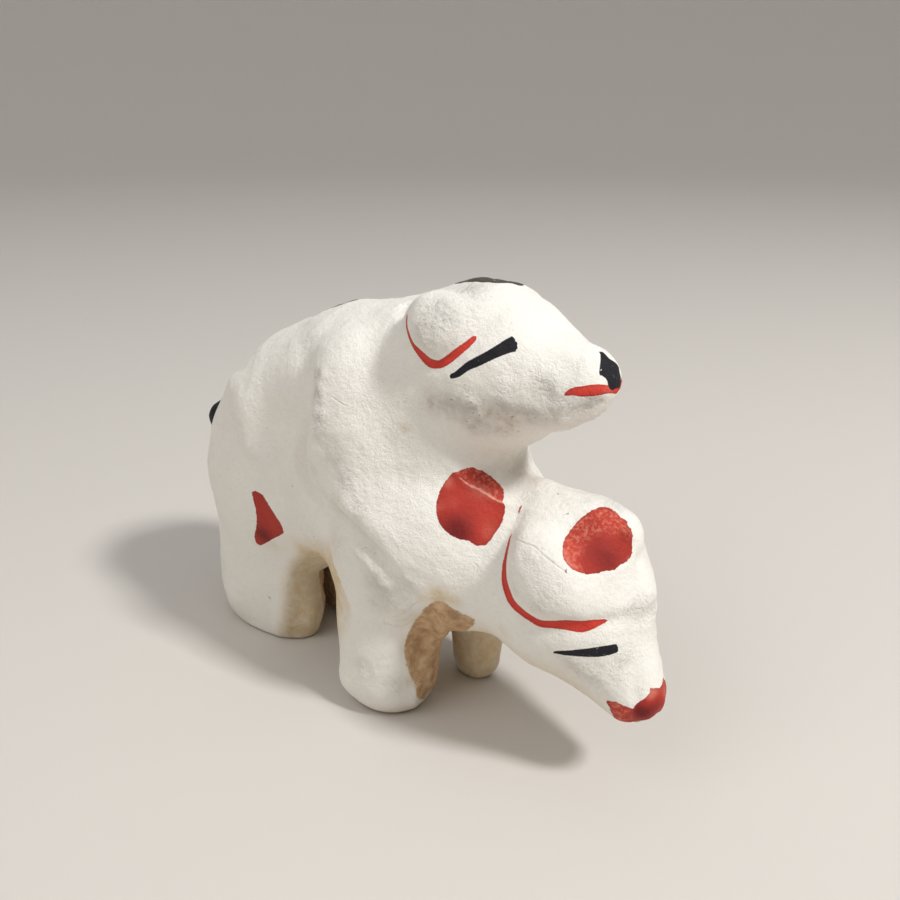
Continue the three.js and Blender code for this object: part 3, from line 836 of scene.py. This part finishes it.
painted = add("ShaderNodeMath", {0: (red_share, 0), 1: (ink_whole, 0)}, operation="MAXIMUM")
chalk_roughness = 0.88
paint_roughness = 0.6
chalk_specular = 0.2
gloss = add("ShaderNodeMapRange", {0: (painted, 0), 3: chalk_roughness, 4: paint_roughness})

# Relief in millimetres: lumps of chalk, its grain, crumbs where it is rough, scratches and pits
grain_depth = 0.11
crumb_depth = 0.6
dust_depth = 0.07
lump_depth = 0.16
scratch_depth = 0.06
pit_depth = 0.08
coat_grain = add("ShaderNodeMapRange", {0: on_clay["crumbs"], 3: grain_depth, 4: crumb_depth})
grain_rise = add("ShaderNodeMath", {0: (grains, 0), 1: (coat_grain, 0)}, operation="MULTIPLY")
dust_rise = add("ShaderNodeMath", {0: (dust, 0), 1: dust_depth}, operation="MULTIPLY")
lump_rise = add("ShaderNodeMath", {0: (mottling, 0), 1: lump_depth}, operation="MULTIPLY")
low_relief = add("ShaderNodeMath", {0: (grain_rise, 0), 1: (dust_rise, 0)}, operation="ADD")
brushed = add("ShaderNodeMath", {0: (low_relief, 0), 1: (lump_rise, 0)}, operation="ADD")
scored_fall = add("ShaderNodeMath", {0: (scored_in, 0), 1: scratch_depth}, operation="MULTIPLY")
cut = add("ShaderNodeMath", {0: (brushed, 0), 1: (scored_fall, 0)}, operation="SUBTRACT")
spot_fall = add("ShaderNodeMath", {0: (spot, 0), 1: pit_depth}, operation="MULTIPLY")
height = add("ShaderNodeMath", {0: (cut, 0), 1: (spot_fall, 0)}, operation="SUBTRACT")
relief = add("ShaderNodeBump", {"Strength": 1.0, "Distance": 1 / METRE, "Height": (height, 0)})
finish_inputs = {"Base Color": (with_ink, 2), "Roughness": (gloss, 0), "Normal": (relief, 0)}
finish = add("ShaderNodeBsdfPrincipled", finish_inputs)
finish.inputs["Specular IOR Level"].default_value = chalk_specular
add("ShaderNodeOutputMaterial", {"Surface": (finish, 0)})
mesh.materials.append(coat)

# Floor and light
# A plain pale floor that rises all round like a wide bowl, a main light from ahead of the dogs
# and above, and a wide fill from their right.
flat_reach = 0.7
rise_radius = 0.8
wall_top = 1.8
rise_steps = 13
floor_segments = 64
rim_profile = [(0.001, 0)] + [
    (flat_reach + rise_radius * math.sin(turn), rise_radius * (1 - math.cos(turn)))
    for turn in np.linspace(0, math.pi / 2, rise_steps)
] + [(flat_reach + rise_radius, wall_top)]
floor_points = [
    (radius * math.cos(step * math.tau / floor_segments),
     radius * math.sin(step * math.tau / floor_segments), height)
    for radius, height in rim_profile
    for step in range(floor_segments)
]
floor_faces = [
    (ring * floor_segments + step, ring * floor_segments + (step + 1) % floor_segments,
     (ring + 1) * floor_segments + (step + 1) % floor_segments, (ring + 1) * floor_segments + step)
    for ring in range(len(rim_profile) - 1)
    for step in range(floor_segments)
]
floor_faces.append(tuple(range(floor_segments - 1, -1, -1)))
floor_mesh = bpy.data.meshes.new("floor")
floor_mesh.from_pydata(floor_points, [], floor_faces)
floor_mesh.shade_smooth()
floor = bpy.data.objects.new("floor", floor_mesh)
bpy.context.scene.collection.objects.link(floor)
pale = bpy.data.materials.new("pale_floor")
pale.use_nodes = True
pale.node_tree.nodes["Principled BSDF"].inputs["Base Color"].default_value = tone("D0CBC4")
pale.node_tree.nodes["Principled BSDF"].inputs["Roughness"].default_value = 0.9
floor_mesh.materials.append(pale)


def lamp(name, place, size, power):
    light = bpy.data.lights.new(name, "AREA")
    light.size = size
    light.energy = power
    lamp_object = bpy.data.objects.new(name, light)
    lamp_object.location = place
    lamp_object.rotation_euler = (Vector((0, 0, 0.02)) - Vector(place)).to_track_quat("-Z", "Y").to_euler()
    bpy.context.scene.collection.objects.link(lamp_object)


main_place, main_size, main_power = (0.366, 0.038, 0.429), 0.07, 2.3
fill_place, fill_size, fill_power = (-0.086, -0.488, 0.515), 0.5, 1.2
sky_strength = 0.68
lamp("main_light", main_place, main_size, main_power)
lamp("fill_light", fill_place, fill_size, fill_power)
world = bpy.data.worlds.new("studio")
world.use_nodes = True
world.node_tree.nodes["Background"].inputs["Color"].default_value = tone("FBFCFF")
world.node_tree.nodes["Background"].inputs["Strength"].default_value = sky_strength
bpy.context.scene.world = world
bpy.context.scene.view_settings.view_transform = "Standard"
